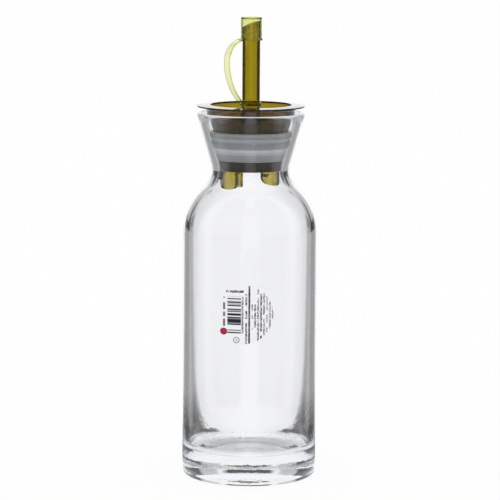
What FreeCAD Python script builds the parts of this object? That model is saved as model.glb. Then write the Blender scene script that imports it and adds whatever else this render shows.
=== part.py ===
# Glass oil decanter with a push-in plastic pourer, drawn in millimetres.
# The origin is the centre of the foot, +Z runs up the bottle and -Y is the front.
# Five pieces: bottle, seal, stopper, cap (with its tether and ring) and label.

import FreeCAD, Part
import math
import os
import re
import Sketcher

doc = FreeCAD.newDocument("oil_decanter")

# ---------------------------------------------------------------- sizes
# Driving dimensions in millimetres and degrees, one spreadsheet row each.
SIZES = [
    # bottle: body, shoulder, flared neck, heavy foot
    ("body_radius", 36.0),
    ("body_wall", 3.3),
    ("foot_round", 3.2),
    ("foot_land", 4.0),
    ("foot_hollow", 4.0),
    ("floor_height", 15.6),
    ("floor_round", 4.2),
    ("shoulder_height", 132.0),
    ("shoulder_round", 33.5),
    ("waist_radius", 20.85),
    ("waist_round", 11.1),
    ("rim_radius", 27.25),
    ("rim_round", 1.45),
    ("glass_height", 196.5),
    # stopper: cup with a flange, resting in the neck on its seal
    ("flange_height", 200.6),
    ("flange_radius", 29.0),
    ("flange_edge", 0.8),
    ("flange_root", 1.3),
    ("flange_drop", 0.3),
    ("cup_radius", 24.1),
    ("cup_mouth", 21.7),
    ("cup_step_height", 194.8),
    ("cup_step_radius", 23.3),
    ("cup_wall", 2.5),
    ("plug_top_height", 187.0),
    ("plug_top_radius", 19.9),
    ("plug_foot_height", 166.0),
    ("plug_foot_radius", 16.5),
    ("plug_foot_round", 1.0),
    ("plug_foot_arc", 1.1),
    ("cup_floor", 2.0),
    # spout tube through the cup, its lip cut on a slant
    ("spout_radius", 4.8),
    ("spout_bore", 3.7),
    ("lip_low", 241.0),
    ("lip_high", 244.6),
    ("lip_round", 23.0),
    ("lip_spare", 1.6),
    ("lip_reach", 1.8),
    # snap legs and drip drain under the plug
    ("leg_foot_height", 155.0),
    ("leg_radius", 16.2),
    ("leg_thickness", 1.6),
    ("leg_half_width", 7.3),
    ("leg_corner", 4.8),
    ("leg_root_round", 1.5),
    ("leg_azimuth", 36.9),
    ("lug_height", 162.4),
    ("lug_depth", 1.6),
    ("lug_rise", 2.2),
    ("lug_land", 0.55),
    ("lug_azimuth", 196.0),
    ("lug_spread", 14.0),
    ("drain_offset", 6.2),
    ("drain_radius", 2.2),
    ("drain_bore", 1.3),
    # seal: ribbed sleeve between plug and neck
    ("seal_gap", 0.05),
    ("seal_step", 0.2),
    ("seal_top_height", 187.0),
    ("seal_rib_radius", 22.2),
    ("seal_groove_height", 182.9),
    ("seal_groove_radius", 20.2),
    ("seal_mid_radius", 21.2),
    ("seal_notch_height", 178.2),
    ("seal_notch_radius", 19.85),
    ("seal_foot_height", 171.8),
    ("seal_foot_radius", 17.9),
    # cap over the spout, joined to its ring by a bowed strap
    ("cap_top_height", 247.0),
    ("cap_foot_height", 234.8),
    ("cap_radius", 5.65),
    ("cap_bore", 4.95),
    ("cap_rim_radius", 6.15),
    ("cap_rim_height", 1.2),
    ("cap_top_wall", 0.8),
    ("cap_edge", 0.2),
    ("ring_radius", 5.7),
    ("ring_bore", 4.9),
    ("ring_foot_height", 199.4),
    ("ring_height", 2.2),
    ("strap_azimuth", 220.0),
    ("strap_width", 4.0),
    ("strap_thickness", 0.8),
    ("strap_reach", 16.7),
    ("strap_bow_height", 224.0),
    ("strap_foot_height", 200.7),
    ("strap_end_radius", 5.3),
    # round paper label on the front of the body
    ("label_radius", 16.5),
    ("label_thickness", 0.15),
    ("label_offset", 3.1),
    ("label_height", 93.2),
]

sheet = doc.addObject("Spreadsheet::Sheet", "Sizes")
for row, (alias, value) in enumerate(SIZES, start=1):
    sheet.set("A%d" % row, alias)
    sheet.set("B%d" % row, str(value))
    sheet.setAlias("B%d" % row, alias)
doc.recompute()


def bound(formula):
    """Formula on cell names (they all hold an underscore), as an expression on the sheet."""
    return re.sub(r"[a-z]+(?:_[a-z]+)+", lambda cell: "Sizes." + cell.group(0), formula)


def number(formula):
    """Value of a formula on cell names."""
    return float(sheet.evalExpression(bound(formula)))


# ---------------------------------------------------------------- sketch outlines
class Outline:
    """Closed outline in a sketch, drawn edge by edge from its start corner.

    A coordinate or radius given as text is a formula and is bound to the sheet.
    A coordinate given as a number is only a first guess, which tangency then settles.
    """

    def __init__(self, body, name, x, y, role="XZ_Plane", azimuth=None, rise=None):
        self.sketch = body.newObject("Sketcher::SketchObject", name)
        plane = [item for item in body.Origin.OriginFeatures if item.Role == role][0]
        self.sketch.AttachmentSupport = [(plane, "")]
        self.sketch.MapMode = "FlatFace"
        if azimuth is not None:
            turn = FreeCAD.Rotation(FreeCAD.Vector(0, 1, 0), number(azimuth))
            self.sketch.AttachmentOffset = FreeCAD.Placement(FreeCAD.Vector(0, 0, 0), turn)
            self.sketch.setExpression("AttachmentOffset.Rotation.Angle", bound(azimuth))
        if rise is not None:
            self.sketch.setExpression("AttachmentOffset.Base.z", bound(rise))
        self.first = (x, y)
        self.here = self.place(x, y)
        self.edges = []

    def place(self, x, y):
        return FreeCAD.Vector(*[number(v) if isinstance(v, str) else v for v in (x, y)], 0)

    def constrain(self, *terms):
        return self.sketch.addConstraint(Sketcher.Constraint(*terms))

    def bind(self, kind, geometry, point, formula):
        """Hold one coordinate of a point at a formula, measured from the origin."""
        value = number(formula)
        if value >= 0:
            index = self.constrain(kind, -1, 1, geometry, point, value)
            text = bound(formula)
        else:
            index = self.constrain(kind, geometry, point, -1, 1, -value)
            text = "-(" + bound(formula) + ")"
        self.sketch.setExpression("Constraints[%d]" % index, text)

    def pin(self, geometry, point, x, y):
        if isinstance(x, str):
            self.bind("DistanceX", geometry, point, x)
        if isinstance(y, str):
            self.bind("DistanceY", geometry, point, y)

    def add(self, geometry, start, end, smooth, x, y):
        index = self.sketch.addGeometry(geometry, False)
        if self.edges:
            last = self.edges[-1]
            self.constrain("Tangent" if smooth else "Coincident", last[0], last[2], index, start)
        self.edges.append((index, start, end))
        self.pin(index, end, x, y)
        self.here = self.place(x, y)
        return index

    def line(self, x, y, smooth=False):
        """Straight edge from the last corner to (x, y)."""
        return self.add(Part.LineSegment(self.here, self.place(x, y)), 1, 2, smooth, x, y)

    def arc(self, x, y, radius, left=True, smooth=False):
        """Arc of under half a turn to (x, y), its centre on the left or the right of the way."""
        start, end = self.here, self.place(x, y)
        chord = end - start
        reach = max(number(radius), 0.5001 * chord.Length)
        across = FreeCAD.Vector(-chord.y, chord.x, 0).normalize() * (1 if left else -1)
        centre = (start + end) * 0.5 + across * math.sqrt(reach ** 2 - chord.Length ** 2 / 4)
        angles = [math.atan2(p.y - centre.y, p.x - centre.x) for p in (start, end)]
        circle = Part.Circle(centre, FreeCAD.Vector(0, 0, 1), reach)
        if left:
            index = self.add(Part.ArcOfCircle(circle, *angles), 1, 2, smooth, x, y)
        else:
            index = self.add(Part.ArcOfCircle(circle, *angles[::-1]), 2, 1, smooth, x, y)
        size = self.constrain("Radius", index, reach)
        self.sketch.setExpression("Constraints[%d]" % size, bound(radius))
        return index

    def close(self, smooth=False):
        """Join the last edge to the start corner."""
        first, last = self.edges[0], self.edges[-1]
        self.constrain("Tangent" if smooth else "Coincident", last[0], last[2], first[0], first[1])
        doc.recompute()
        if self.sketch.solve() != 0 or not self.sketch.FullyConstrained:
            raise RuntimeError("%s is not fully constrained" % self.sketch.Name)
        return self.sketch


def newBody(name):
    body = doc.addObject("PartDesign::Body", name)
    body.Label = name
    return body


def revolve(body, name, sketch, angle=None):
    """Turn an outline about the bottle's axis, all the way or by a bound angle."""
    feature = body.newObject("PartDesign::Revolution", name)
    feature.Profile = sketch
    feature.ReferenceAxis = (sketch, ["V_Axis"])
    feature.Angle = 360
    if angle is not None:
        feature.setExpression("Angle", bound(angle))
        feature.Midplane = True
    doc.recompute()
    return feature


def circle(body, name, radius, x="0", rise=None):
    """Level circle at a bound height, centred on the axis or at x."""
    outline = Outline(body, name, "0", "0", role="XY_Plane", rise=rise)
    disc = Part.Circle(FreeCAD.Vector(number(x), 0, 0), FreeCAD.Vector(0, 0, 1), number(radius))
    index = outline.sketch.addGeometry(disc, False)
    if number(x) == 0:
        outline.constrain("Coincident", index, 3, -1, 1)
    else:
        outline.bind("DistanceX", index, 3, x)
        outline.constrain("PointOnObject", index, 3, -1)
    size = outline.constrain("Radius", index, number(radius))
    outline.sketch.setExpression("Constraints[%d]" % size, bound(radius))
    doc.recompute()
    return outline.sketch


def pad(body, name, sketch, length, midplane=False):
    feature = body.newObject("PartDesign::Pad", name)
    feature.Profile = sketch
    feature.setExpression("Length", bound(length))
    feature.Midplane = midplane
    doc.recompute()
    return feature


def pocket(body, name, sketch, length=None):
    """Cut an outline out of the body: through everything both ways, or upward by a length."""
    before = body.Tip.Shape.Volume
    feature = body.newObject("PartDesign::Pocket", name)
    feature.Profile = sketch
    if length is None:
        feature.Type = "ThroughAll"
        feature.Midplane = True
    else:
        feature.setExpression("Length", bound(length))
        feature.Reversed = True
    doc.recompute()
    if feature.Shape.Volume >= before:
        raise RuntimeError("%s cut nothing" % name)
    return feature


# ---------------------------------------------------------------- bottle
def makeBottle():
    """Soda glass: heavy hollowed foot, straight body, round shoulder, waist and flared neck."""
    body = newBody("bottle")
    outline = Outline(body, "bottle_profile", "0", "foot_hollow")
    land = "body_radius - foot_round - foot_land"
    # the underside is hollowed to a shallow dome, so the bottle stands on a ring
    dome = "((%s)^2 + foot_hollow^2) / (2 * foot_hollow)" % land
    outline.arc(land, "0", dome, left=False)
    outline.line("body_radius - foot_round", "0")
    outline.arc("body_radius", "foot_round", "foot_round")
    outline.line("body_radius", "shoulder_height")
    # outer skin of the shoulder, waist and flare, each tangent to the next
    shoulder = outline.arc(26.4, 155.6, "shoulder_round", smooth=True)
    waist = outline.arc(21.3, 168.5, "waist_round", left=False, smooth=True)
    outline.line(28.8, 194.6, smooth=True)
    lip = outline.arc(26.1, 195.4, "rim_round", smooth=True)
    # inner skin, one wall in from the outer one
    outline.line(18.1, 168.8, smooth=True)
    inside = outline.arc(23.8, 153.6, "waist_round + body_wall", smooth=True)
    hollow = outline.arc("body_radius - body_wall", "shoulder_height",
                         "shoulder_round - body_wall", left=False, smooth=True)
    outline.line("body_radius - body_wall", "floor_height + floor_round")
    outline.arc("body_radius - body_wall - floor_round", "floor_height", "floor_round", left=False)
    outline.line("0", "floor_height")
    outline.line("0", "foot_hollow")
    outline.bind("DistanceX", waist, 3, "waist_radius + waist_round")
    outline.bind("DistanceX", lip, 3, "rim_radius")
    outline.bind("DistanceY", lip, 3, "glass_height - rim_round")
    outline.constrain("Coincident", waist, 3, inside, 3)
    revolve(body, "bottle_glass", outline.close())
    return body


# ---------------------------------------------------------------- stopper
def makeStopper():
    """Moulded pourer: flanged cup, slanted spout, two snap legs with lugs and a drip drain."""
    body = newBody("stopper")
    # cup: a thin conical wall with a floor, and a flange that tapers to its edge
    fullness = 0.501  # a round edge's radius over its thickness: a hair over half, so that an arc exists
    cup = Outline(body, "cup_profile", "0", "plug_foot_height")
    cup.line("plug_foot_radius - plug_foot_round", "plug_foot_height")
    cup.arc("plug_foot_radius", "plug_foot_height + plug_foot_round", "plug_foot_arc")
    cup.line("plug_top_radius", "plug_top_height")
    cup.line("cup_step_radius", "cup_step_height")
    cup.line("cup_radius", "flange_height - flange_root")
    cup.line("flange_radius - flange_edge / 2", "flange_height - flange_drop - flange_edge")
    cup.arc("flange_radius - flange_edge / 2", "flange_height - flange_drop", "flange_edge * %s" % fullness)
    cup.line("cup_mouth", "flange_height")
    cup.line("cup_step_radius - cup_wall", "cup_step_height")
    cup.line("plug_top_radius - cup_wall", "plug_top_height")
    cup.line("plug_foot_radius - cup_wall", "plug_foot_height + cup_floor")
    cup.line("0", "plug_foot_height + cup_floor")
    cup.line("0", "plug_foot_height")
    revolve(body, "cup", cup.close())

    # spout: a straight tube from the cup's floor, bored right through
    tube = circle(body, "spout_outline", "spout_radius", rise="plug_foot_height")
    pad(body, "spout", tube, "lip_high + lip_spare - plug_foot_height")
    bore = circle(body, "bore_outline", "spout_bore", rise="plug_foot_height")
    pocket(body, "spout_bore_cut", bore, "lip_high + lip_spare - plug_foot_height")
    # pouring lip: cut on a slant by a crowned surface, low on the left, high on the right
    reach = "spout_radius + lip_reach"
    slope = "(lip_high - lip_low) / (2 * spout_radius) * lip_reach"
    lip = Outline(body, "lip_outline", "-(%s)" % reach, "lip_low - " + slope)
    lip.arc(reach, "lip_high + " + slope, "lip_round", left=False)
    lip.line(reach, "cap_top_height")
    lip.line("-(%s)" % reach, "cap_top_height")
    lip.line("-(%s)" % reach, "lip_low - " + slope)
    pocket(body, "lip_cut", lip.close())

    # snap legs: a ring under the plug, cut away to two round-cornered tongues
    ring = Outline(body, "leg_ring_profile", "leg_radius - leg_thickness", "leg_foot_height")
    ring.line("leg_radius", "leg_foot_height")
    ring.line("leg_radius", "plug_foot_height + plug_foot_round")
    ring.line("leg_radius - leg_thickness", "plug_foot_height + plug_foot_round")
    ring.line("leg_radius - leg_thickness", "leg_foot_height")
    revolve(body, "leg_ring", ring.close())
    tongue = "leg_half_width"
    foot = "leg_foot_height"
    root = "plug_foot_height"
    span = "leg_radius + leg_root_round"
    gap = Outline(body, "tongue_gaps", tongue, foot + " + leg_corner",
                  azimuth="leg_azimuth - 90")
    gap.line(tongue, root + " - leg_root_round")
    gap.arc(tongue + " + leg_root_round", root, "leg_root_round", left=False)
    gap.line(span, root)
    gap.line(span, foot + " - leg_root_round")
    gap.line("-(%s)" % span, foot + " - leg_root_round")
    gap.line("-(%s)" % span, root)
    gap.line("-(%s + leg_root_round)" % tongue, root)
    gap.arc("-" + tongue, root + " - leg_root_round", "leg_root_round", left=False)
    gap.line("-" + tongue, foot + " + leg_corner")
    gap.arc("-(%s - leg_corner)" % tongue, foot, "leg_corner")
    gap.line(tongue + " - leg_corner", foot)
    gap.arc(tongue, foot + " + leg_corner", "leg_corner")
    pocket(body, "leg_gaps", gap.close())
    # one catch on each leg, the second the first one mirrored through the bottle's axis plane
    lug = Outline(body, "lug_profile", "leg_radius - leg_thickness / 2", "lug_height - lug_rise",
                  azimuth="lug_azimuth")
    lug.line("leg_radius", "lug_height - lug_rise")
    lug.line("leg_radius + lug_depth", "lug_height - lug_land")
    lug.line("leg_radius + lug_depth", "lug_height")
    lug.line("leg_radius - leg_thickness / 2", "lug_height")
    lug.line("leg_radius - leg_thickness / 2", "lug_height - lug_rise")
    catch = revolve(body, "lug", lug.close(), angle="lug_spread")
    twin = body.newObject("PartDesign::Mirrored", "lug_twin")
    twin.Originals = [catch]
    twin.MirrorPlane = (gap.sketch, [""])
    body.Tip = twin
    doc.recompute()

    # drip drain: a short tube down from the cup's floor, beside the spout
    drain = circle(body, "drain_outline", "drain_radius", "-drain_offset", rise="leg_foot_height")
    pad(body, "drain", drain, "plug_foot_height + cup_floor / 2 - leg_foot_height")
    hole = circle(body, "drain_hole", "drain_bore", "-drain_offset", rise="leg_foot_height")
    pocket(body, "drain_cut", hole, "plug_foot_height + cup_floor - leg_foot_height")
    return body


# ---------------------------------------------------------------- seal
def makeSeal():
    """Soft sleeve on the plug: two round ribs over a tapered band, squeezed in the neck."""
    body = newBody("seal")
    # the bore follows the plug's cone
    taper = "(plug_top_radius - plug_foot_radius) / (plug_top_height - plug_foot_height - plug_foot_round)"
    bore = "plug_foot_radius + seal_gap + (%s - plug_foot_height - plug_foot_round) * " + taper
    outline = Outline(body, "seal_profile", bore % "seal_foot_height", "seal_foot_height")
    outline.line("seal_foot_radius", "seal_foot_height")
    outline.line("seal_notch_radius + seal_gap", "seal_notch_height - seal_step")
    outline.line("seal_notch_radius", "seal_notch_height")
    lowerRise = "(seal_groove_height - seal_notch_height)"
    lowerSwell = "(seal_mid_radius - (seal_notch_radius + seal_groove_radius) / 2)"
    outline.arc("seal_groove_radius", "seal_groove_height",
                "(%s^2 / 4 + %s^2) / (2 * %s)" % (lowerRise, lowerSwell, lowerSwell))
    upperRise = "(seal_top_height - seal_groove_height)"
    upperSwell = "(seal_rib_radius - seal_groove_radius)"
    outline.arc("seal_groove_radius", "seal_top_height",
                "(%s^2 / 4 + %s^2) / (2 * %s)" % (upperRise, upperSwell, upperSwell))
    outline.line(bore % "seal_top_height", "seal_top_height")
    outline.line(bore % "seal_foot_height", "seal_foot_height")
    revolve(body, "seal_sleeve", outline.close())
    return body


# ---------------------------------------------------------------- cap, strap and ring
def makeCap():
    """Spout cap held by a bowed flat strap to a ring round the foot of the spout."""
    body = newBody("cap")
    shell = Outline(body, "cap_profile", "0", "cap_top_height - cap_top_wall")
    shell.line("cap_bore", "cap_top_height - cap_top_wall")
    shell.line("cap_bore", "cap_foot_height")
    shell.line("cap_rim_radius", "cap_foot_height")
    shell.line("cap_rim_radius", "cap_foot_height + cap_rim_height / 2")
    shell.line("cap_radius", "cap_foot_height + cap_rim_height")
    shell.line("cap_radius", "cap_top_height - cap_edge")
    shell.line("cap_radius - cap_edge", "cap_top_height")
    shell.line("0", "cap_top_height")
    shell.line("0", "cap_top_height - cap_top_wall")
    revolve(body, "cap_shell", shell.close())

    # strap: leaves the cap's rim level, bows out and drops back to the ring in a long curve
    half = "strap_thickness / 2"
    end = "strap_end_radius"
    bow = "(strap_reach - strap_end_radius)"
    top = "strap_bow_height + " + bow
    drop = "(strap_bow_height - strap_foot_height)"
    long = "(%s^2 + %s^2) / (2 * %s)" % (drop, bow, bow)
    lower = "strap_bow_height - sqrt((%s)^2 - (%s - %s)^2)"
    outer = lower % (long + " + " + half, long, bow)
    inner = lower % (long + " - " + half, long, bow)
    strap = Outline(body, "strap_profile", end, top + " + " + half, azimuth="strap_azimuth")
    strap.line(end, top + " - " + half)
    strap.arc("strap_reach - " + half, "strap_bow_height", bow + " - " + half, left=False)
    strap.arc(end, inner, long + " - " + half, left=False)
    strap.line(end, outer)
    strap.arc("strap_reach + " + half, "strap_bow_height", long + " + " + half)
    strap.arc(end, top + " + " + half, bow + " + " + half)
    pad(body, "strap", strap.close(), "strap_width", midplane=True)

    ring = Outline(body, "ring_profile", "ring_bore", "ring_foot_height")
    ring.line("ring_radius", "ring_foot_height")
    ring.line("ring_radius", "ring_foot_height + ring_height")
    ring.line("ring_bore", "ring_foot_height + ring_height")
    ring.line("ring_bore", "ring_foot_height")
    revolve(body, "ring", ring.close())
    return body


# ---------------------------------------------------------------- label
def makeLabel():
    """Round paper label wrapped on the front of the body."""

    def cylinder(name, radius, length, place):
        solid = doc.addObject("Part::Cylinder", name)
        solid.setExpression("Radius", bound(radius))
        solid.setExpression("Height", bound(length))
        solid.Placement = place
        return solid

    span = "label_radius * 2"
    foot = FreeCAD.Placement(FreeCAD.Vector(0, 0, number("label_height - label_radius")),
                             FreeCAD.Rotation())
    skin = cylinder("label_skin", "body_radius + label_thickness", span, foot)
    core = cylinder("label_core", "body_radius", span, foot)
    sheetOfPaper = doc.addObject("Part::Cut", "label_wrap")
    sheetOfPaper.Base = skin
    sheetOfPaper.Tool = core
    front = FreeCAD.Placement(FreeCAD.Vector(number("-label_offset"), 0, number("label_height")),
                              FreeCAD.Rotation(FreeCAD.Vector(1, 0, 0), 90))
    punch = cylinder("label_punch", "label_radius", "body_radius * 2", front)
    label = doc.addObject("Part::Common", "label")
    label.Base = sheetOfPaper
    label.Tool = punch
    label.Label = "label"
    doc.recompute()
    return label


# ---------------------------------------------------------------- build, check and write
parts = [makeBottle(), makeSeal(), makeStopper(), makeCap(), makeLabel()]
doc.recompute()

for item in doc.Objects:
    if "Invalid" in item.State or "Error" in item.State:
        raise RuntimeError("%s failed: %s" % (item.Name, item.State))
for part in parts:
    if part.Shape.isNull() or not part.Shape.isValid() or len(part.Shape.Solids) != 1:
        raise RuntimeError("%s is not one valid solid" % part.Label)

os.makedirs("parts", exist_ok=True)
for part in parts:
    part.Shape.exportStep(os.path.join("parts", part.Label + ".step"))
    box = part.Shape.optimalBoundingBox()
    print("%-8s %8.1f mm3, z %.2f to %.2f, x %.2f to %.2f, y %.2f to %.2f" % (
        part.Label, part.Shape.Volume, box.ZMin, box.ZMax, box.XMin, box.XMax, box.YMin, box.YMax))
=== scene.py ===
# Glass oil decanter with a plastic pourer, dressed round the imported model.
import bpy
import bmesh
import math
from mathutils import Vector, Matrix


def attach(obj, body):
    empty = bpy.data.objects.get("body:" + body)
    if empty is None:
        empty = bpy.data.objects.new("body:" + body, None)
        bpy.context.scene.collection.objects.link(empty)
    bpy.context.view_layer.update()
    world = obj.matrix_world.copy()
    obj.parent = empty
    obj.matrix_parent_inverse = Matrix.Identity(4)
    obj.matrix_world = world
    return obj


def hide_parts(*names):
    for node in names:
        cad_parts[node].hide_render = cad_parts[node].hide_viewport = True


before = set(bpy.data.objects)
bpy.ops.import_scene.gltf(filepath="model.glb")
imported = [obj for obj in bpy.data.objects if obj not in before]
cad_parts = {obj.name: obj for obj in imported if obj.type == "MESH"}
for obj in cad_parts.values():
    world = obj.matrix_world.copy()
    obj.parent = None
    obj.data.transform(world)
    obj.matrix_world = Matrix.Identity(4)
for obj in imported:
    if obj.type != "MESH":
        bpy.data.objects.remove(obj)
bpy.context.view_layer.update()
mm = 0.001
tiny = 0.0001  # millimetres: nearer points of an outline are one point
weld = 0.000001  # metres: nearer vertices are one vertex
print("loaded", len(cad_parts), "nodes")


# outlines are lists of (radius, height) in millimetres

def arcPoints(centre, radius, fromDeg, toDeg, steps):
    angles = [math.radians(fromDeg + (toDeg - fromDeg) * i / steps) for i in range(steps + 1)]
    return [(centre[0] + radius * math.cos(a), centre[1] + radius * math.sin(a)) for a in angles]


def linePoints(start, end, steps):
    return [(start[0] + (end[0] - start[0]) * i / steps, start[1] + (end[1] - start[1]) * i / steps)
            for i in range(steps + 1)]


def bulge(low, high, swell, steps=12):
    # arc from one point to the next, standing out by swell
    chord = math.dist(low, high)
    radius = (chord ** 2 / 4 + swell ** 2) / (2 * swell)
    middle = ((low[0] + high[0]) / 2, (low[1] + high[1]) / 2)
    out = ((high[1] - low[1]) / chord, -(high[0] - low[0]) / chord)
    centre = (middle[0] + out[0] * (swell - radius), middle[1] + out[1] * (swell - radius))
    start = math.degrees(math.atan2(low[1] - centre[1], low[0] - centre[0]))
    end = math.degrees(math.atan2(high[1] - centre[1], high[0] - centre[0]))
    return arcPoints(centre, radius, start, end, steps)


def joined(*runs):
    # runs laid end to end, without doubled points
    outline = []
    for run in runs:
        for point in run:
            if not outline or math.dist(point, outline[-1]) > tiny:
                outline.append(point)
    return outline


def roundedOutline(corners, steps=5, most=0.49):
    # closed outline from corners (radius, height, rounding); a rounding takes at most this share of a side
    outline = []
    count = len(corners)
    for i, (x, y, rounding) in enumerate(corners):
        if rounding == 0:
            outline.append((x, y))
            continue
        here = Vector((x, y))
        before = Vector(corners[i - 1][:2]) - here
        after = Vector(corners[(i + 1) % count][:2]) - here
        half = before.angle(after) / 2
        reach = min(rounding / math.tan(half), before.length * most, after.length * most)
        start = here + before.normalized() * reach
        end = here + after.normalized() * reach
        for k in range(steps + 1):
            t = k / steps
            point = start * (1 - t) ** 2 + here * (2 * t * (1 - t)) + end * t ** 2
            outline.append((point.x, point.y))
    return outline


# meshes

def addObject(name, data):
    piece = bpy.data.objects.new(name, data)
    bpy.context.scene.collection.objects.link(piece)
    return piece


def meshObject(name, bm):
    mesh = bpy.data.meshes.new(name)
    bm.to_mesh(mesh)
    bm.free()
    return addObject(name, mesh)


def finishMesh(mesh, sharpDeg=35):
    for polygon in mesh.polygons:
        polygon.use_smooth = True
    mesh.set_sharp_from_angle(angle=math.radians(sharpDeg))
    mesh.update()


def ringOf(bm, radius, height, segments):
    # a point on the axis becomes one vertex
    if radius < tiny:
        return [bm.verts.new((0, 0, height * mm))]
    angles = [2 * math.pi * s / segments for s in range(segments)]
    return [bm.verts.new((radius * mm * math.cos(a), radius * mm * math.sin(a), height * mm)) for a in angles]


def lathe(name, outline, segments):
    # turns a closed outline about the Z axis
    bm = bmesh.new()
    rings = [ringOf(bm, radius, height, segments) for radius, height in outline]
    for low, high in zip(rings, rings[1:] + rings[:1]):
        if len(low) == 1 and len(high) == 1:
            continue
        for s in range(segments):
            n = (s + 1) % segments
            if len(low) == 1:
                bm.faces.new((low[0], high[s], high[n]))
            elif len(high) == 1:
                bm.faces.new((low[n], low[s], high[0]))
            else:
                bm.faces.new((low[s], low[n], high[n], high[s]))
    bmesh.ops.recalc_face_normals(bm, faces=bm.faces)
    piece = meshObject(name, bm)
    finishMesh(piece.data)
    return piece


def rod(name, radius, low, high, segments):
    return lathe(name, [(0, low), (radius, low), (radius, high), (0, high)], segments)


def prism(name, outline, depth, place):
    # closed flat outline (x, y) in millimetres pushed out both ways along its own Z
    bm = bmesh.new()
    low = [bm.verts.new((x * mm, y * mm, -depth * mm / 2)) for x, y in outline]
    high = [bm.verts.new((x * mm, y * mm, depth * mm / 2)) for x, y in outline]
    bm.faces.new(low)
    bm.faces.new(high)
    for i in range(len(outline)):
        n = (i + 1) % len(outline)
        bm.faces.new((low[i], low[n], high[n], high[i]))
    bmesh.ops.recalc_face_normals(bm, faces=bm.faces)
    bm.transform(place)
    return meshObject(name, bm)


def upright(azimuthDeg, offset=(0, 0)):
    # plane that stands on its X direction at an azimuth, with its Y up
    place = Matrix.Translation((offset[0] * mm, offset[1] * mm, 0))
    turn = Matrix.Rotation(math.radians(azimuthDeg), 4, "Z")
    return place @ turn @ Matrix.Rotation(math.pi / 2, 4, "X")


def carve(piece, tools, operation):
    # union, difference or intersection with other closed meshes, which are then removed
    for tool in tools:
        step = piece.modifiers.new("carve", "BOOLEAN")
        step.solver = "EXACT"
        step.operation = operation
        step.object = tool
    bpy.context.view_layer.update()
    mesh = bpy.data.meshes.new_from_object(piece.evaluated_get(bpy.context.evaluated_depsgraph_get()))
    mesh.name = piece.name
    piece.modifiers.clear()
    piece.data = mesh
    for tool in tools:
        bpy.data.objects.remove(tool)
    return piece


def cleanMesh(piece, sharpDeg):
    bm = bmesh.new()
    bm.from_mesh(piece.data)
    bmesh.ops.remove_doubles(bm, verts=bm.verts, dist=weld)
    bmesh.ops.dissolve_degenerate(bm, edges=bm.edges, dist=weld)
    bmesh.ops.recalc_face_normals(bm, faces=bm.faces)
    bm.to_mesh(piece.data)
    bm.free()
    finishMesh(piece.data, sharpDeg)


def dress(piece, node, material):
    piece.data.materials.clear()
    piece.data.materials.append(material)
    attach(piece, "root")
    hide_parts(node)


# camera; the light paths are long, so that the glass edges aren't cut to black

view = {"distance": 1.3536, "height": 0.324, "pitchDeg": 8.478, "rollDeg": 0.37, "lens": 183.5, "sensor": 36,
        "farClip": 20, "bounces": 200}


def makeCamera():
    data = bpy.data.cameras.new("camera")
    data.lens = view["lens"]
    data.sensor_width = view["sensor"]
    data.clip_end = view["farClip"]
    camera = addObject("camera", data)
    look = Matrix.Rotation(math.radians(90 - view["pitchDeg"]), 4, "X")
    roll = Matrix.Rotation(math.radians(view["rollDeg"]), 4, "Z")
    camera.matrix_world = Matrix.Translation((0, -view["distance"], view["height"])) @ look @ roll
    scene = bpy.context.scene
    scene.camera = camera
    scene.view_settings.view_transform = "Standard"
    scene.cycles.max_bounces = view["bounces"]
    scene.cycles.transmission_bounces = view["bounces"]
    scene.cycles.glossy_bounces = view["bounces"]


makeCamera()
print("camera placed")


# node helpers

def feed(tree, value, socket):
    # a link where the value is a socket, otherwise a plain value
    if isinstance(value, bpy.types.NodeSocket):
        tree.links.new(value, socket)
    else:
        socket.default_value = value


def mathNode(tree, operation, a, b=None, clamp=False):
    node = tree.nodes.new("ShaderNodeMath")
    node.operation = operation
    node.use_clamp = clamp
    feed(tree, a, node.inputs[0])
    if b is not None:
        feed(tree, b, node.inputs[1])
    return node.outputs[0]


def product(tree, first, *others):
    for other in others:
        first = mathNode(tree, "MULTIPLY", first, other)
    return first


def inverse(tree, value):
    return mathNode(tree, "SUBTRACT", 1.0, value)


def ramp(tree, value, start, end):
    # 0 at start, 1 at end, held beyond them
    return mathNode(tree, "DIVIDE", mathNode(tree, "SUBTRACT", value, start), end - start, clamp=True)


def blend(tree, share, low, high):
    # low at share 0, high at share 1
    return mathNode(tree, "ADD", product(tree, share, high - low), low)


def lengthOf(tree, x, y):
    return mathNode(tree, "SQRT", mathNode(tree, "ADD", product(tree, x, x), product(tree, y, y)))


def splitPlace(tree, place):
    node = tree.nodes.new("ShaderNodeSeparateXYZ")
    tree.links.new(place, node.inputs[0])
    return node.outputs["X"], node.outputs["Y"], node.outputs["Z"]


def objectPlace(tree):
    return tree.nodes.new("ShaderNodeTexCoord").outputs["Object"]


def heightRamp(tree, start, end):
    # 0 at one height, 1 at the other, in millimetres
    height = splitPlace(tree, objectPlace(tree))[2]
    return ramp(tree, height, start * mm, end * mm)


def noiseNode(tree, place, scale, detail):
    node = tree.nodes.new("ShaderNodeTexNoise")
    feed(tree, place, node.inputs["Vector"])
    feed(tree, scale, node.inputs["Scale"])
    feed(tree, detail, node.inputs["Detail"])
    return node.outputs["Fac"]


def mixColours(tree, share, under, over):
    # a Mix node's colour sockets are the seventh and eighth, and its third output
    node = tree.nodes.new("ShaderNodeMix")
    node.data_type = "RGBA"
    feed(tree, share, node.inputs[0])
    feed(tree, under, node.inputs[6])
    feed(tree, over, node.inputs[7])
    return node.outputs[2]


def newGroup(name, given, kind, results):
    # a node group with one input and several values out
    tree = bpy.data.node_groups.new(name, "ShaderNodeTree")
    tree.interface.new_socket(given, in_out="INPUT", socket_type=kind)
    for result in results:
        tree.interface.new_socket(result, in_out="OUTPUT", socket_type="NodeSocketFloat")
    return tree, tree.nodes.new("NodeGroupInput").outputs[given], tree.nodes.new("NodeGroupOutput").inputs


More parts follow.
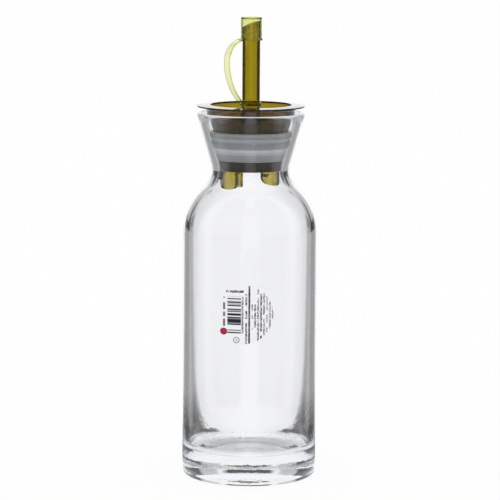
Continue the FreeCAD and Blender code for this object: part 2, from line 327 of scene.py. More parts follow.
def placeGroup(tree, group, value):
    node = tree.nodes.new("ShaderNodeGroup")
    node.node_tree = group
    feed(tree, value, node.inputs[0])
    return node.outputs


def shaderOf(tree):
    return tree.nodes["Principled BSDF"]


def newMaterial(name, sockets):
    # what is the same all over goes on the shader's own sockets
    material = bpy.data.materials.new(name)
    material.use_nodes = True
    tree = material.node_tree
    for socket, value in sockets.items():
        feed(tree, value, shaderOf(tree).inputs[socket])
    print("material", name)
    return material, tree


# world and floor: a white studio whose darker parts only gloss and glass see

studio = {
    "plainLight": 1.0, "tint": (0.98, 0.983, 1.0, 1), "softDeg": 4,
    # a dark wing at each side, darker from cardFromDeg on, and fading out above wingTopDeg
    "wingFromDeg": 20, "cardFromDeg": 36, "wingToDeg": 74, "wingTopDeg": 38, "wingFadeDeg": 10,
    "wingLevel": 0.58, "cardLevel": 0.08,
    # ceiling, light from the front, and a dark sill low behind the object
    "topLevel": 0.6, "topFromDeg": 30, "topToDeg": 60,
    "frontDeg": 80, "frontSoftDeg": 20, "frontLow": 0.7, "frontHigh": 0.95,
    "frontFromDeg": 15, "frontToDeg": 45,
    "sillDeg": 11.5, "sillLowDeg": 7, "sillHighDeg": 22, "sillLevel": 0.1,
    # gloss sees white behind the object and glossLevel elsewhere
    "backdropDeg": 24, "backdropSoftDeg": 10, "glossLevel": 0.1,
    # the floor, in metres: clear near the object, with darker wings further out
    "floorSize": 6, "floorColour": (0.95, 0.95, 0.95, 1), "floorRoughness": 0.9, "floorGlow": 0.92,
    "nearFloor": 0.045, "farFloor": 0.06, "floorWing": 0.45,
    "darkParts": ((1.3, 1.38, 0.05), (0.24, 0.13, 0.1)),  # each darkens from the first reach to the second
    "fallFromDeg": 6, "fallToDeg": 24, "fallLevel": 0.84}


def lightGroup():
    # angles of a direction in degrees: from the Y axis either way, from straight behind, and above the floor
    tree, direction, sink = newGroup("studioLight", "Direction", "NodeSocketVector",
                                     ("Folded", "Azimuth", "Height"))
    x, y, z = splitPlace(tree, direction)
    across = mathNode(tree, "ABSOLUTE", x)
    for name, a, b in (("Folded", across, mathNode(tree, "ABSOLUTE", y)), ("Azimuth", across, y),
                       ("Height", z, lengthOf(tree, x, y))):
        tree.links.new(mathNode(tree, "DEGREES", mathNode(tree, "ARCTAN2", a, b)), sink[name])
    return tree


def sector(tree, angle, fromDeg, toDeg):
    # 1 between the two angles, with soft edges
    inside = ramp(tree, angle, fromDeg - studio["softDeg"], fromDeg)
    outside = ramp(tree, angle, toDeg, toDeg + studio["softDeg"])
    return mathNode(tree, "SUBTRACT", inside, outside, clamp=True)


def dimmed(tree, light, mask, level):
    # light brought down to its share level where the mask is 1
    return product(tree, light, blend(tree, mask, 1.0, level))


def studioLamp(tree, through, gloss, shader):
    # light by kind of ray: through glass, off gloss, or plain white for the view and all matt light
    path = tree.nodes.new("ShaderNodeLightPath").outputs
    unscattered = mathNode(tree, "LESS_THAN", path["Diffuse Depth"], 0.5)
    isThrough = product(tree, path["Is Transmission Ray"], unscattered)
    isGloss = product(tree, path["Is Glossy Ray"], unscattered, inverse(tree, isThrough))
    level = mathNode(tree, "SUBTRACT", inverse(tree, isThrough), isGloss)
    for kind, light in ((isThrough, through), (isGloss, gloss)):
        level = mathNode(tree, "ADD", level, product(tree, kind, light))
    colour = tree.nodes.new("ShaderNodeVectorMath")
    colour.operation = "SCALE"
    tree.links.new(mixColours(tree, isThrough, (1, 1, 1, 1), studio["tint"]), colour.inputs["Vector"])
    tree.links.new(level, colour.inputs["Scale"])
    tree.links.new(colour.outputs["Vector"], shader.inputs["Color"])
    shader.inputs["Strength"].default_value = studio["plainLight"]
    return path


def makeWorld(group):
    s = studio
    world = bpy.data.worlds.new("studio")
    bpy.context.scene.world = world
    world.use_nodes = True
    tree = world.node_tree
    tree.nodes.clear()
    angles = placeGroup(tree, group, tree.nodes.new("ShaderNodeTexCoord").outputs["Generated"])
    folded, azimuth, height = angles["Folded"], angles["Azimuth"], angles["Height"]
    low = ramp(tree, height, s["wingTopDeg"] + s["wingFadeDeg"], s["wingTopDeg"])
    wing = product(tree, sector(tree, folded, s["wingFromDeg"], s["wingToDeg"]), low)
    card = product(tree, sector(tree, folded, s["cardFromDeg"], s["wingToDeg"]), low)
    sill = product(tree, sector(tree, height, s["sillLowDeg"], s["sillHighDeg"]),
                   ramp(tree, azimuth, s["sillDeg"] + s["softDeg"], s["sillDeg"]))
    through = blend(tree, ramp(tree, height, s["topFromDeg"], s["topToDeg"]), 1.0, s["topLevel"])
    for mask, level in ((wing, s["wingLevel"]), (card, s["cardLevel"] / s["wingLevel"]),
                        (sill, s["sillLevel"])):
        through = dimmed(tree, through, mask, level)
    # light from the front comes from above
    front = ramp(tree, azimuth, s["frontDeg"], s["frontDeg"] + s["frontSoftDeg"])
    ahead = blend(tree, ramp(tree, height, s["frontFromDeg"], s["frontToDeg"]), s["frontLow"], s["frontHigh"])
    through = mathNode(tree, "ADD", product(tree, through, inverse(tree, front)), product(tree, ahead, front))
    backdrop = ramp(tree, azimuth, s["backdropDeg"] + s["backdropSoftDeg"], s["backdropDeg"])
    background = tree.nodes.new("ShaderNodeBackground")
    studioLamp(tree, through, blend(tree, backdrop, s["glossLevel"], 1.0), background)
    output = tree.nodes.new("ShaderNodeOutputWorld")
    tree.links.new(background.outputs[0], output.inputs["Surface"])


def floorGlow(tree, group):
    # what gloss and glass see of the floor
    s = studio
    place = objectPlace(tree)
    angles = placeGroup(tree, group, place)
    folded, azimuth = angles["Folded"], angles["Azimuth"]
    length = tree.nodes.new("ShaderNodeVectorMath")
    length.operation = "LENGTH"
    tree.links.new(place, length.inputs[0])
    away = length.outputs["Value"]
    far = ramp(tree, away, s["nearFloor"], s["farFloor"])
    wing = product(tree, far, sector(tree, folded, s["wingFromDeg"], s["wingToDeg"]))
    through = blend(tree, wing, 1.0, s["floorWing"])
    through = dimmed(tree, through, ramp(tree, folded, s["fallFromDeg"], s["fallToDeg"]), s["fallLevel"])
    for start, end, level in s["darkParts"]:
        dark = product(tree, wing, ramp(tree, away, start, end))
        through = dimmed(tree, through, dark, level / s["floorWing"])
    front = product(tree, far, ramp(tree, azimuth, s["frontDeg"], s["frontDeg"] + s["frontSoftDeg"]))
    through = dimmed(tree, through, front, s["frontLow"])
    backdrop = ramp(tree, azimuth, s["backdropDeg"] + s["backdropSoftDeg"], s["backdropDeg"])
    clear = mathNode(tree, "MAXIMUM", backdrop, inverse(tree, far))
    glow = tree.nodes.new("ShaderNodeEmission")
    path = studioLamp(tree, through, blend(tree, clear, s["glossLevel"], 1.0), glow)
    return glow, path


def makeFloor(group):
    s = studio
    bm = bmesh.new()
    bmesh.ops.create_grid(bm, x_segments=1, y_segments=1, size=s["floorSize"])
    floor = meshObject("floor", bm)
    plain = {"Base Color": s["floorColour"], "Roughness": s["floorRoughness"]}
    material, tree = newMaterial("paleFloor", plain)
    glow, path = floorGlow(tree, group)
    # direct views keep part of the lit floor, so the shadow shows; gloss and glass see only the glow
    seen = mathNode(tree, "MAXIMUM", path["Is Glossy Ray"], path["Is Transmission Ray"])
    share = mathNode(tree, "ADD", seen, product(tree, path["Is Camera Ray"], s["floorGlow"]), clamp=True)
    mix = tree.nodes.new("ShaderNodeMixShader")
    for socket, source in zip(mix.inputs, (share, shaderOf(tree).outputs[0], glow.outputs[0])):
        tree.links.new(source, socket)
    tree.links.new(mix.outputs[0], tree.nodes["Material Output"].inputs["Surface"])
    floor.data.materials.append(material)


studioLight = lightGroup()
makeWorld(studioLight)
makeFloor(studioLight)
print("studio ready")


# finishes: skinLift is in metres, tint and density are of the stuff inside, other heights are in millimetres

skin = {"rippleDetail": 3, "patchDetail": 5, "patchScale": 0.35, "patchFrom": 0.5, "patchTo": 0.75}


def skinGroup():
    # faint moulding marks and wear: a rippled height, and a mask of dull patches
    tree, scale, sink = newGroup("mouldedSkin", "Scale", "NodeSocketFloat", ("Height", "Dull"))
    place = objectPlace(tree)
    tree.links.new(noiseNode(tree, place, scale, skin["rippleDetail"]), sink["Height"])
    patch = noiseNode(tree, place, product(tree, scale, skin["patchScale"]), skin["patchDetail"])
    tree.links.new(ramp(tree, patch, skin["patchFrom"], skin["patchTo"]), sink["Dull"])
    return tree


mouldedSkin = skinGroup()


def addSkin(tree, d, ripple=None, frost=None):
    # roughness runs from smooth to dull by the group's patches, and its height bends the surface
    shader = shaderOf(tree)
    marks = placeGroup(tree, mouldedSkin, d["skinScale"])
    height, roughness = marks["Height"], blend(tree, marks["Dull"], d["smooth"], d["dull"])
    if ripple:
        height = mathNode(tree, "ADD", product(tree, height, d["skinShare"]), ripple)
    if frost:
        roughness = mathNode(tree, "ADD", roughness, frost)
    bump = tree.nodes.new("ShaderNodeBump")
    bump.inputs["Distance"].default_value = d["skinLift"]
    tree.links.new(height, bump.inputs["Height"])
    tree.links.new(bump.outputs[0], shader.inputs["Normal"])
    tree.links.new(roughness, shader.inputs["Roughness"])


def addDepth(tree, d):
    # colour that deepens with the thickness of the piece
    depth = tree.nodes.new("ShaderNodeVolumeAbsorption")
    depth.inputs["Color"].default_value = (*d["tint"], 1)
    depth.inputs["Density"].default_value = d["density"]
    tree.links.new(depth.outputs[0], tree.nodes["Material Output"].inputs["Volume"])


glass = {"sockets": {"Base Color": (1, 1, 1, 1), "IOR": 1.51, "Transmission Weight": 1.0},
         "skinScale": 60, "skinLift": 0.0001, "skinShare": 0.3, "smooth": 0.0, "dull": 0.02,
         "rippleScale": 420, "rippleDetail": 2, "rippleShare": 0.5, "rippleTop": 50, "rippleFull": 20,
         "tint": (0.86, 0.90, 0.92), "density": 6}


def clearGlass():
    # smooth above, with a fine ripple toward the pressed foot
    d = glass
    material, tree = newMaterial("clearGlass", d["sockets"])
    foot = product(tree, heightRamp(tree, d["rippleTop"], d["rippleFull"]), d["rippleShare"])
    ripple = noiseNode(tree, objectPlace(tree), d["rippleScale"], d["rippleDetail"])
    addSkin(tree, d, ripple=product(tree, foot, ripple))
    addDepth(tree, d)
    return material


olive = {"sockets": {"Base Color": (1, 1, 1, 1), "IOR": 1.57, "Transmission Weight": 1.0,
                     "Coat Weight": 1.0, "Coat Roughness": 0.02},
         "skinScale": 300, "skinLift": 0.00001, "smooth": 0.02, "dull": 0.09,
         "frost": 0.34, "frostTop": (193.5, 191.5), "frostFoot": (165.5, 166.5),
         "tint": (0.846, 0.800, 0.0), "density": 2700}


def olivePlastic():
    # polished, with the tapered plug below the step frosted
    d = olive
    material, tree = newMaterial("olivePlastic", d["sockets"])
    frost = product(tree, heightRamp(tree, *d["frostTop"]), heightRamp(tree, *d["frostFoot"]), d["frost"])
    addSkin(tree, d, frost=frost)
    addDepth(tree, d)
    return material


pale = {"sockets": {"Base Color": (0.97, 0.97, 0.85, 1), "IOR": 1.5, "Transmission Weight": 1.0},
        "skinScale": 400, "skinLift": 0.00001, "smooth": 0.03, "dull": 0.12,
        "tint": (0.90, 0.93, 0.25), "density": 620}


def palePlastic():
    material, tree = newMaterial("palePlastic", pale["sockets"])
    addSkin(tree, pale)
    addDepth(tree, pale)
    return material


rubber = {"sockets": {"IOR": 1.45, "Transmission Weight": 0.12},
          "skinScale": 200, "skinLift": 0.00002, "smooth": 0.12, "dull": 0.3,
          # painted light and shade: one tone for each height, lighter where the ribs face up and darker where
          # they face down; each tone is coloured between the clear tint and the lit tint
          "heights": (171.8, 174.7, 176.6, 178.0, 179.3, 181.7, 183.1, 184.7, 186.4),
          "tones": (0.50, 0.54, 0.80, 0.98, 0.50, 0.46, 0.90, 0.44, 0.66),
          "clear": (0.90, 0.98, 1.0), "litTint": (0.93, 0.98, 1.06),
          "tint": (0.85, 0.86, 0.90), "density": 30}


def milkyRubberPaintedShade():
    # soft clear rubber: most of it scatters, with painted light and shade in bands by height, and a little
    # lets the plug show
    d = rubber
    material, tree = newMaterial("milkyRubberPaintedShade", d["sockets"])
    low, high = d["heights"][0], d["heights"][-1]
    # painted light and shade: a ramp by height puts lit and shaded bands into the base colour
    paintedShadeBands = tree.nodes.new("ShaderNodeValToRGB")
    stops = paintedShadeBands.color_ramp.elements
    paintedShadeBands.color_ramp.interpolation = "EASE"
    tree.links.new(heightRamp(tree, low, high), paintedShadeBands.inputs[0])
    while len(stops) < len(d["heights"]):
        stops.new(0.5)
    for stop, height, tone in zip(stops, d["heights"], d["tones"]):
        stop.position = (height - low) / (high - low)
        tint = [clear + (litTint - clear) * tone for clear, litTint in zip(d["clear"], d["litTint"])]
        stop.color = (*[min(1.0, tone * part) for part in tint], 1)
    tree.links.new(paintedShadeBands.outputs[0], shaderOf(tree).inputs["Base Color"])
    addSkin(tree, d)
    addDepth(tree, d)
    return material


# made-up print on the label's flat layout, in millimetres from its middle
# a box is (low u, high u, low v, high v), with u across and v up
printing = {
    "span": 33.0, "letter": 0.42, "letterGap": 0.24,
    "bars": (-8.6, -1.4, -10.0, 10.6), "barPitch": 0.62, "barFrom": 0.25, "barTo": 0.6,
    "marks": (-1.1, -0.1, -10.0, 9.6), "heading": (-9.4, 0.0, 11.6, 12.9),
    "dashes": (-10.9, -9.7, -6.4, 9.2), "dashPitch": 1.24, "dashGap": 0.3,
    "lineStart": 0.9, "linePitch": 1.55, "lineShare": 0.62, "lineReach": 15.6,
    "greyLow": 0.6, "greyHigh": 0.95,
    "wordRate": 0.45, "wordGap": 0.2, "boldFill": 0.6, "shortMiddle": -1.0, "shortReach": 6.6,
    "dot": (-10.5, -9.2), "dotRadius": 1.9,
    "badge": (-3.8, -13.6), "badgeRadius": 1.7, "badgeRing": 0.7, "badgeCore": 0.25,
    "tones": {"bars": 1.0, "marks": 0.75, "dashes": 0.8, "heading": 0.95, "lines": 1.0, "badge": 0.7}}

paper = {"white": (0.93, 0.93, 0.96, 1), "ink": (0.02, 0.02, 0.035, 1), "red": (0.42, 0.01, 0.05, 1),
         "skinScale": 900, "skinLift": 0.000005, "smooth": 0.45, "dull": 0.6}


def above(tree, value, limit):
    return mathNode(tree, "GREATER_THAN", value, limit)


def below(tree, value, limit):
    return mathNode(tree, "LESS_THAN", value, limit)


def within(tree, value, low, high):
    return product(tree, above(tree, value, low), below(tree, value, high))


def inBox(tree, u, v, box):
    return product(tree, within(tree, u, box[0], box[1]), within(tree, v, box[2], box[3]))


def distanceTo(tree, u, v, point):
    return lengthOf(tree, mathNode(tree, "SUBTRACT", u, point[0]), mathNode(tree, "SUBTRACT", v, point[1]))


def cellNoise(tree, u, v, size):
    # one random number for each square cell
    cell = tree.nodes.new("ShaderNodeCombineXYZ")
    for socket, value in zip(cell.inputs, (u, v)):
        tree.links.new(mathNode(tree, "FLOOR", mathNode(tree, "DIVIDE", value, size)), socket)
    noise = tree.nodes.new("ShaderNodeTexWhiteNoise")
    noise.noise_dimensions = "2D"
    tree.links.new(cell.outputs[0], noise.inputs["Vector"])
    return noise.outputs["Value"]


def printedLines(tree, u, v, still, letters):
    # grey lines of words, kept inside the round: the second is bold, the third and fourth are short
    d = printing
    turn = mathNode(tree, "DIVIDE", mathNode(tree, "SUBTRACT", u, d["lineStart"]), d["linePitch"])
    number = mathNode(tree, "FLOOR", turn)
    bold = within(tree, number, 0.5, 1.5)
    short = within(tree, number, 1.5, 3.5)
    away = mathNode(tree, "ABSOLUTE", mathNode(tree, "SUBTRACT", v, d["shortMiddle"]))
    words = above(tree, cellNoise(tree, number, product(tree, v, d["wordRate"]), 1.0), d["wordGap"])
    grey = blend(tree, cellNoise(tree, number, still, 1.0), d["greyLow"], d["greyHigh"])
    return product(tree, mathNode(tree, "MAXIMUM", bold, grey),
                   below(tree, mathNode(tree, "FRACT", turn), d["lineShare"]),
                   below(tree, distanceTo(tree, u, v, (0, 0)), d["lineReach"]),
                   above(tree, turn, 0.0),
                   inverse(tree, product(tree, short, above(tree, away, d["shortReach"]))),
                   mathNode(tree, "MAXIMUM", letters, product(tree, bold, d["boldFill"])),
                   mathNode(tree, "MAXIMUM", words, bold))


def printedBadge(tree, u, v):
    d = printing
    away = distanceTo(tree, u, v, d["badge"])
    ring = within(tree, away, d["badgeRadius"] * d["badgeRing"], d["badgeRadius"])
    return mathNode(tree, "ADD", ring, below(tree, away, d["badgeRadius"] * d["badgeCore"]))


def printGroup():
    d = printing
    tree, layout, sink = newGroup("labelPrint", "Layout", "NodeSocketVector", ("Ink", "Red"))
    u, v = [product(tree, mathNode(tree, "SUBTRACT", part, 0.5), d["span"])
            for part in splitPlace(tree, layout)[:2]]
    still = product(tree, u, 0.0)  # stays 0, for noise that changes one way only
    letters = above(tree, cellNoise(tree, u, v, d["letter"]), d["letterGap"])
    fills = {"bars": ramp(tree, cellNoise(tree, still, v, d["barPitch"]), d["barFrom"], d["barTo"]),
             "dashes": above(tree, cellNoise(tree, still, v, d["dashPitch"]), d["dashGap"]),
             "marks": letters, "heading": letters}
    parts = {name: product(tree, fill, inBox(tree, u, v, d[name])) for name, fill in fills.items()}
    parts["lines"] = printedLines(tree, u, v, still, letters)
    parts["badge"] = printedBadge(tree, u, v)
    ink = 0.0
    for name, tone in d["tones"].items():
        ink = mathNode(tree, "MAXIMUM", ink, product(tree, parts[name], tone))
    tree.links.new(ink, sink["Ink"])
    tree.links.new(below(tree, distanceTo(tree, u, v, d["dot"]), d["dotRadius"]), sink["Red"])
    return tree


def labelPaper():
    material, tree = newMaterial("labelPaper", {})
    layout = tree.nodes.new("ShaderNodeUVMap")
    layout.uv_map = "print"
    masks = placeGroup(tree, printGroup(), layout.outputs[0])
    printed = mixColours(tree, masks["Ink"], paper["white"], paper["ink"])
    tree.links.new(mixColours(tree, masks["Red"], printed, paper["red"]), shaderOf(tree).inputs["Base Color"])
    addSkin(tree, paper)
    return material


# pieces, in millimetres and degrees

bottle = {"radius": 36.0, "wall": 3.3, "footRound": 3.2, "footLand": 4.0, "footHollow": 4.0,
          "floorHeight": 15.6, "floorRound": 4.2, "shoulderHeight": 132.0, "shoulderRound": 33.5,
          "waistRadius": 20.85, "waistRound": 11.1, "rimRadius": 27.25, "rimRound": 1.45, "height": 196.5,
          "segments": 192}


def neckArcs():
    # shoulder, waist, lip, inner waist and inner shoulder, each meeting the next
    b = bottle
    shoulderCentre = (b["radius"] - b["shoulderRound"], b["shoulderHeight"])
    waistX = b["waistRadius"] + b["waistRound"]
    reach = b["shoulderRound"] + b["waistRound"]
    waistCentre = (waistX, b["shoulderHeight"] + math.sqrt(reach ** 2 - (waistX - shoulderCentre[0]) ** 2))
    meet = math.degrees(math.atan2(waistCentre[1] - shoulderCentre[1], waistCentre[0] - shoulderCentre[0]))
    lip = (b["rimRadius"], b["height"] - b["rimRound"])
    # the flare touches the waist's circle on one side and the lip's on the other, so it crosses between them
    across = Vector(lip) - Vector(waistCentre)
    tilt = math.degrees(math.atan2(across.y, across.x))
    outer = tilt + math.degrees(math.acos((b["waistRound"] + b["rimRound"]) / across.length))
    inner = tilt + math.degrees(math.acos((b["waistRound"] + b["wall"] - b["rimRound"]) / across.length))
    return (arcPoints(shoulderCentre, b["shoulderRound"], 0, meet, steps=24),
            arcPoints(waistCentre, b["waistRound"], 180 + meet, outer, steps=16),
            arcPoints(lip, b["rimRound"], outer - 180, inner, steps=12),
            arcPoints(waistCentre, b["waistRound"] + b["wall"], inner, 180 + meet, steps=16),
            arcPoints(shoulderCentre, b["shoulderRound"] - b["wall"], meet, 0, steps=24))


def makeBottle():
    b = bottle
    land = b["radius"] - b["footRound"] - b["footLand"]
    dome = (land ** 2 + b["footHollow"] ** 2) / (2 * b["footHollow"])
    domeHalf = math.degrees(math.asin(land / dome))
    inner = b["radius"] - b["wall"]
    under = arcPoints((0, b["footHollow"] - dome), dome, 90, 90 - domeHalf, steps=8)
    foot = arcPoints((b["radius"] - b["footRound"], b["footRound"]), b["footRound"], -90, 0, steps=8)
    floorArc = arcPoints((inner - b["floorRound"], b["floorHeight"] + b["floorRound"]), b["floorRound"],
                         0, -90, steps=12)
    shoulder, waist, rim, innerWaist, hollow = neckArcs()
    outline = joined(under, foot, linePoints(foot[-1], shoulder[0], steps=12), shoulder, waist,
                     linePoints(waist[-1], rim[0], steps=6), rim,
                     linePoints(rim[-1], innerWaist[0], steps=6), innerWaist, hollow,
                     linePoints(hollow[-1], floorArc[0], steps=12), floorArc,
                     linePoints(floorArc[-1], (0, b["floorHeight"]), steps=4))
    dress(lathe("bottleGlass", outline, b["segments"]), "bottle", clearGlass())


# pourer: flanged cup, spout, snap legs, lugs and drain; cutters and buried ends reach spare past a face
pourer = {"flangeHeight": 200.6, "flangeRadius": 29.0, "flangeEdge": 0.8, "flangeRoot": 1.3,
          "flangeDrop": 0.3,
          "cupRadius": 24.1, "cupMouth": 21.7, "stepHeight": 194.8, "stepRadius": 23.3, "wall": 2.5,
          "plugTop": 187.0, "plugTopRadius": 19.9, "plugFoot": 166.0, "plugFootRadius": 16.5,
          "plugFootRound": 1.0, "plugFootInset": 0.05, "floor": 2.0,
          "rootRound": 0.4, "edgeRound": 0.35, "mouthRound": 0.3, "stepRound": 3.0, "floorRound": 0.8,
          "spoutRadius": 4.8, "spoutBore": 3.7, "spoutBury": 0.5, "lipLow": 241.0, "lipHigh": 244.6,
          "lipRound": 23.0, "lipSpare": 1.6, "lipReach": 1.8, "spare": 1.0,
          "legFoot": 155.0, "legRadius": 16.2, "legThickness": 1.6, "legHalfWidth": 7.3, "legCorner": 4.8,
          "legRootRound": 1.5, "legAzimuth": 36.9,
          "lugHeight": 162.4, "lugDepth": 1.6, "lugRise": 2.2, "lugLand": 0.55, "lugRoot": 0.8,
          "lugAzimuth": 196.0, "lugSpread": 14.0, "lugSteps": 6,
          "drainOffset": 6.2, "drainRadius": 2.2, "drainBore": 1.3,
          "segments": 160, "legSegments": 128, "spoutSegments": 64, "drainSegments": 40, "holeSegments": 32}


def cupOutline():
    p = pourer
    foot = p["plugFoot"]
    edge = p["flangeHeight"] - p["flangeDrop"]
    outside = [(0, foot, 0), (p["plugFootRadius"] - p["plugFootInset"], foot, p["plugFootRound"]),
               (p["plugTopRadius"], p["plugTop"], p["stepRound"]),
               (p["stepRadius"], p["stepHeight"], p["stepRound"]),
               (p["cupRadius"], p["flangeHeight"] - p["flangeRoot"], p["rootRound"]),
               (p["flangeRadius"], edge - p["flangeEdge"], p["edgeRound"]),
               (p["flangeRadius"], edge, p["edgeRound"])]
    inside = [(p["cupMouth"], p["flangeHeight"], p["mouthRound"]),
              (p["stepRadius"] - p["wall"], p["stepHeight"], p["stepRound"]),
              (p["plugTopRadius"] - p["wall"], p["plugTop"], p["stepRound"]),
              (p["plugFootRadius"] - p["wall"], foot + p["floor"], p["floorRound"]),
              (0, foot + p["floor"], 0)]
    return roundedOutline(outside + inside)


def plugRadius(height):
    # outside of the plug's cone, which the sleeve's bore follows
    p = pourer
    run = (height - p["plugFoot"] - p["plugFootRound"]) / (p["plugTop"] - p["plugFoot"] - p["plugFootRound"])
    return p["plugFootRadius"] + (p["plugTopRadius"] - p["plugFootRadius"]) * run


def legTongue(azimuthDeg):
    # a curved tongue: ring under the plug met with a round-cornered outline
    p = pourer
    foot, top = p["legFoot"], p["plugFoot"] + p["plugFootRound"]
    inner = p["legRadius"] - p["legThickness"]
    ring = lathe("leg", [(inner, foot), (p["legRadius"], foot), (p["legRadius"], top), (inner, top)],
                 p["legSegments"])
    half, corner, root = p["legHalfWidth"], p["legCorner"], p["legRootRound"]
    rightSide = joined(arcPoints((half - corner, foot + corner), corner, -90, 0, steps=10),
                       arcPoints((half + root, p["plugFoot"] - root), root, 180, 90, steps=6))
    leftSide = [(-x, y) for x, y in reversed(rightSide)]
    over = top + p["spare"]
    tongue = rightSide + [(half + root, over), (-half - root, over)] + leftSide
    turn = math.radians(azimuthDeg)
    reach = (math.cos(turn) * p["legRadius"], math.sin(turn) * p["legRadius"])
    cutter = prism("tongue", tongue, p["legRadius"], upright(azimuthDeg + 90, reach))
    return carve(ring, [cutter], "INTERSECT")


def legLug(azimuthDeg):
    # a short piece of ring with a sloping underside
    p = pourer
    root, out = p["legRadius"] - p["lugRoot"], p["legRadius"] + p["lugDepth"]
    z = p["lugHeight"]
    profile = [(root, z - p["lugRise"]), (p["legRadius"], z - p["lugRise"]), (out, z - p["lugLand"]),
               (out, z), (root, z)]
    bm = bmesh.new()
    rows = []
    for i in range(p["lugSteps"] + 1):
        a = math.radians(azimuthDeg + p["lugSpread"] * (i / p["lugSteps"] - 0.5))
        rows.append([bm.verts.new((x * mm * math.cos(a), x * mm * math.sin(a), y * mm)) for x, y in profile])
    for low, high in zip(rows, rows[1:]):
        for k in range(len(profile)):
            n = (k + 1) % len(profile)
            bm.faces.new((low[k], low[n], high[n], high[k]))
    bm.faces.new(rows[0])
    bm.faces.new(rows[-1])
    bmesh.ops.recalc_face_normals(bm, faces=bm.faces)
    return meshObject("lug", bm)


def lipCutter(top):
    # all above the slanted, crowned pouring lip
    p = pourer
    reach = p["spoutRadius"] + p["lipReach"]
    slope = (p["lipHigh"] - p["lipLow"]) / (2 * p["spoutRadius"]) * p["lipReach"]
    low, high = (-reach, p["lipLow"] - slope), (reach, p["lipHigh"] + slope)
    swell = p["lipRound"] - math.sqrt(p["lipRound"] ** 2 - math.dist(low, high) ** 2 / 4)
    crown = bulge(high, low, swell, steps=16)
    return prism("lip", crown + [(-reach, top), (reach, top)], 4 * p["spoutRadius"], upright(0))


def makePourer():
    p = pourer
    foot, spare = p["plugFoot"], p["spare"]
    tubeTop = p["lipHigh"] + p["lipSpare"]
    piece = lathe("pourerStopper", cupOutline(), p["segments"])
    tube = rod("tube", p["spoutRadius"], foot + p["spoutBury"], tubeTop, p["spoutSegments"])
    legs = [legTongue(p["legAzimuth"] + turn) for turn in (0, 180)]
    # the second lug is the first one's mirror image across the legs, after a half turn
    lugs = [legLug(azimuth) for azimuth in (p["lugAzimuth"], 2 * (p["legAzimuth"] + 90) - p["lugAzimuth"])]
    drain = rod("drain", p["drainRadius"], p["legFoot"], foot + spare, p["drainSegments"])
    hole = rod("hole", p["drainBore"], p["legFoot"] - spare, foot + p["floor"] + spare, p["holeSegments"])
    for part in (drain, hole):
        part.data.transform(Matrix.Translation((-p["drainOffset"] * mm, 0, 0)))
    bore = rod("bore", p["spoutBore"], foot - spare, tubeTop + spare, p["spoutSegments"])
    carve(piece, [tube] + legs + lugs + [drain], "UNION")
    carve(piece, [bore, hole, lipCutter(tubeTop + spare)], "DIFFERENCE")
    cleanMesh(piece, sharpDeg=30)
    dress(piece, "stopper", olivePlastic())


# seal: sleeve with two round ribs over a tapered band
seal = {"footHeight": 171.8, "footRadius": 17.9, "footChamfer": 0.2, "notchHeight": 178.2,
        "notchRadius": 19.85, "notchLead": 0.2, "notchStep": 0.05, "midRadius": 21.2, "grooveHeight": 182.9,
        "grooveRadius": 20.2, "ribRadius": 22.2, "topHeight": 187.0, "gap": 0.05, "segments": 160}


def makeSeal():
    s = seal
    notch = (s["notchRadius"], s["notchHeight"])
    groove = (s["grooveRadius"], s["grooveHeight"])
    top = (s["grooveRadius"], s["topHeight"])
    chamfer = s["footChamfer"]
    foot = [(s["footRadius"] - chamfer, s["footHeight"]), (s["footRadius"], s["footHeight"] + chamfer)]
    bandTop = (s["notchRadius"] + s["notchStep"], s["notchHeight"] - s["notchLead"])
    middle = (s["notchRadius"] + s["grooveRadius"]) / 2
    bore = [(plugRadius(height) + s["gap"], height) for height in (s["topHeight"], s["footHeight"])]
    outline = joined(foot, linePoints(foot[-1], bandTop, steps=4),
                     bulge(notch, groove, s["midRadius"] - middle),
                     bulge(groove, top, s["ribRadius"] - s["grooveRadius"]),
                     linePoints(bore[0], bore[1], steps=6))
    dress(lathe("ribbedSeal", outline, s["segments"]), "seal", milkyRubberPaintedShade())


# cap with its bowed strap and ring
cap = {"topHeight": 247.0, "footHeight": 234.8, "radius": 5.65, "bore": 4.95, "topWall": 0.8,
       "rimRadius": 6.15, "rimHeight": 1.2, "edgeRound": 0.3, "rimRound": 0.2, "mouthRound": 0.1,
       "ringRadius": 5.7, "ringBore": 4.9, "ringFoot": 199.4, "ringHeight": 2.2,
       "ringRound": 0.25, "ringBoreRound": 0.15,
       "strapAzimuth": 220.0, "strapWidth": 4.0, "strapThickness": 0.8, "strapReach": 16.7,
       "strapFoot": 200.7, "strapEnd": 5.3, "bowHeight": 224.0, "segments": 72}


def strapRibbon():
    # a quarter round from the cap, then a long arc down to the ring
    c = cap
    half = c["strapThickness"] / 2
    bow = c["strapReach"] - c["strapEnd"]
    drop = c["bowHeight"] - c["strapFoot"]
    longRadius = (drop ** 2 + bow ** 2) / (2 * bow)
    lowEnd = math.degrees(math.asin(drop / longRadius))
    upper = (c["strapEnd"], c["bowHeight"])
    lower = (c["strapReach"] - longRadius, c["bowHeight"])
    outside, inside = [joined(arcPoints(upper, bow + side, 90, 0, steps=24),
                              arcPoints(lower, longRadius + side, 0, -lowEnd, steps=24))
                       for side in (half, -half)]
    return prism("ribbon", outside + inside[::-1], c["strapWidth"], upright(c["strapAzimuth"]))


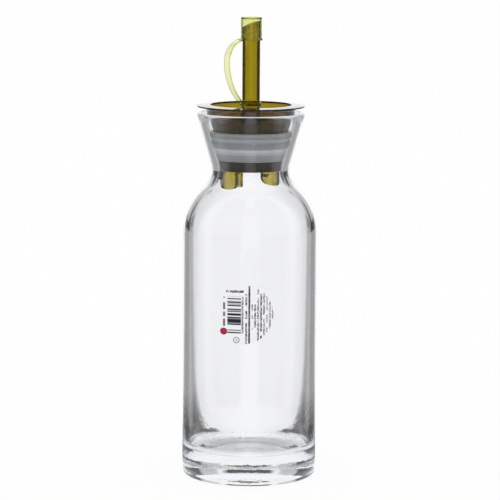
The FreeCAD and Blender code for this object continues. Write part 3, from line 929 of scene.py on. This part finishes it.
def makeCap():
    c = cap
    ceiling = c["topHeight"] - c["topWall"]
    rimTop = c["footHeight"] + c["rimHeight"]
    shell = roundedOutline([
        (0, ceiling, 0), (c["bore"], ceiling, c["edgeRound"]), (c["bore"], c["footHeight"], c["mouthRound"]),
        (c["rimRadius"], c["footHeight"], c["rimRound"]),
        (c["rimRadius"], c["footHeight"] + c["rimHeight"] / 2, c["rimRound"]),
        (c["radius"], rimTop, c["edgeRound"]), (c["radius"], c["topHeight"], c["edgeRound"]),
        (0, c["topHeight"], 0)], steps=4)
    foot, top = c["ringFoot"], c["ringFoot"] + c["ringHeight"]
    band = roundedOutline([
        (c["ringBore"], foot, c["ringBoreRound"]), (c["ringRadius"], foot, c["ringRound"]),
        (c["ringRadius"], top, c["ringRound"]), (c["ringBore"], top, c["ringBoreRound"])], steps=3)
    piece = lathe("tetheredCap", shell, c["segments"])
    carve(piece, [lathe("ring", band, c["segments"]), strapRibbon()], "UNION")
    cleanMesh(piece, sharpDeg=35)
    dress(piece, "cap", palePlastic())


# round label, wrapped on the body
label = {"radius": 16.5, "thickness": 0.15, "clearance": 0.01, "offset": 3.1, "height": 93.2,
         "rings": 14, "spokes": 96}


def labelSkin(bm, bend, flat):
    # one face of the disc at its bend radius; flat collects where each vertex lies in the flat layout
    d = label
    rows = []
    for r in range(d["rings"] + 1):
        reach = d["radius"] * r / d["rings"]
        rows.append([])
        for s in range(d["spokes"] if r else 1):
            a = 2 * math.pi * s / d["spokes"]
            u, v = reach * math.cos(a), reach * math.sin(a)
            x = u - d["offset"]
            vert = bm.verts.new((x * mm, -math.sqrt(bend ** 2 - x ** 2) * mm, (v + d["height"]) * mm))
            flat[vert] = (u / (2 * d["radius"]) + 0.5, v / (2 * d["radius"]) + 0.5)
            rows[-1].append(vert)
    for s in range(d["spokes"]):
        n = (s + 1) % d["spokes"]
        bm.faces.new((rows[0][0], rows[1][s], rows[1][n]))
        for low, high in zip(rows[1:], rows[2:]):
            bm.faces.new((low[s], high[s], high[n], low[n]))
    return rows[-1]


def makeLabel():
    d = label
    bm = bmesh.new()
    layout = bm.loops.layers.uv.new("print")
    flat = {}
    inner, outer = [labelSkin(bm, bottle["radius"] + lift, flat) for lift in (d["clearance"], d["thickness"])]
    for s in range(d["spokes"]):
        n = (s + 1) % d["spokes"]
        bm.faces.new((inner[s], inner[n], outer[n], outer[s]))
    bmesh.ops.recalc_face_normals(bm, faces=bm.faces)
    for face in bm.faces:
        for loop in face.loops:
            loop[layout].uv = flat[loop.vert]
    piece = meshObject("roundLabel", bm)
    finishMesh(piece.data)
    dress(piece, "label", labelPaper())


makeBottle()
print("bottle blown")
makeSeal()
makePourer()
print("seal and pourer moulded")
makeCap()
makeLabel()
print("cap and label on")
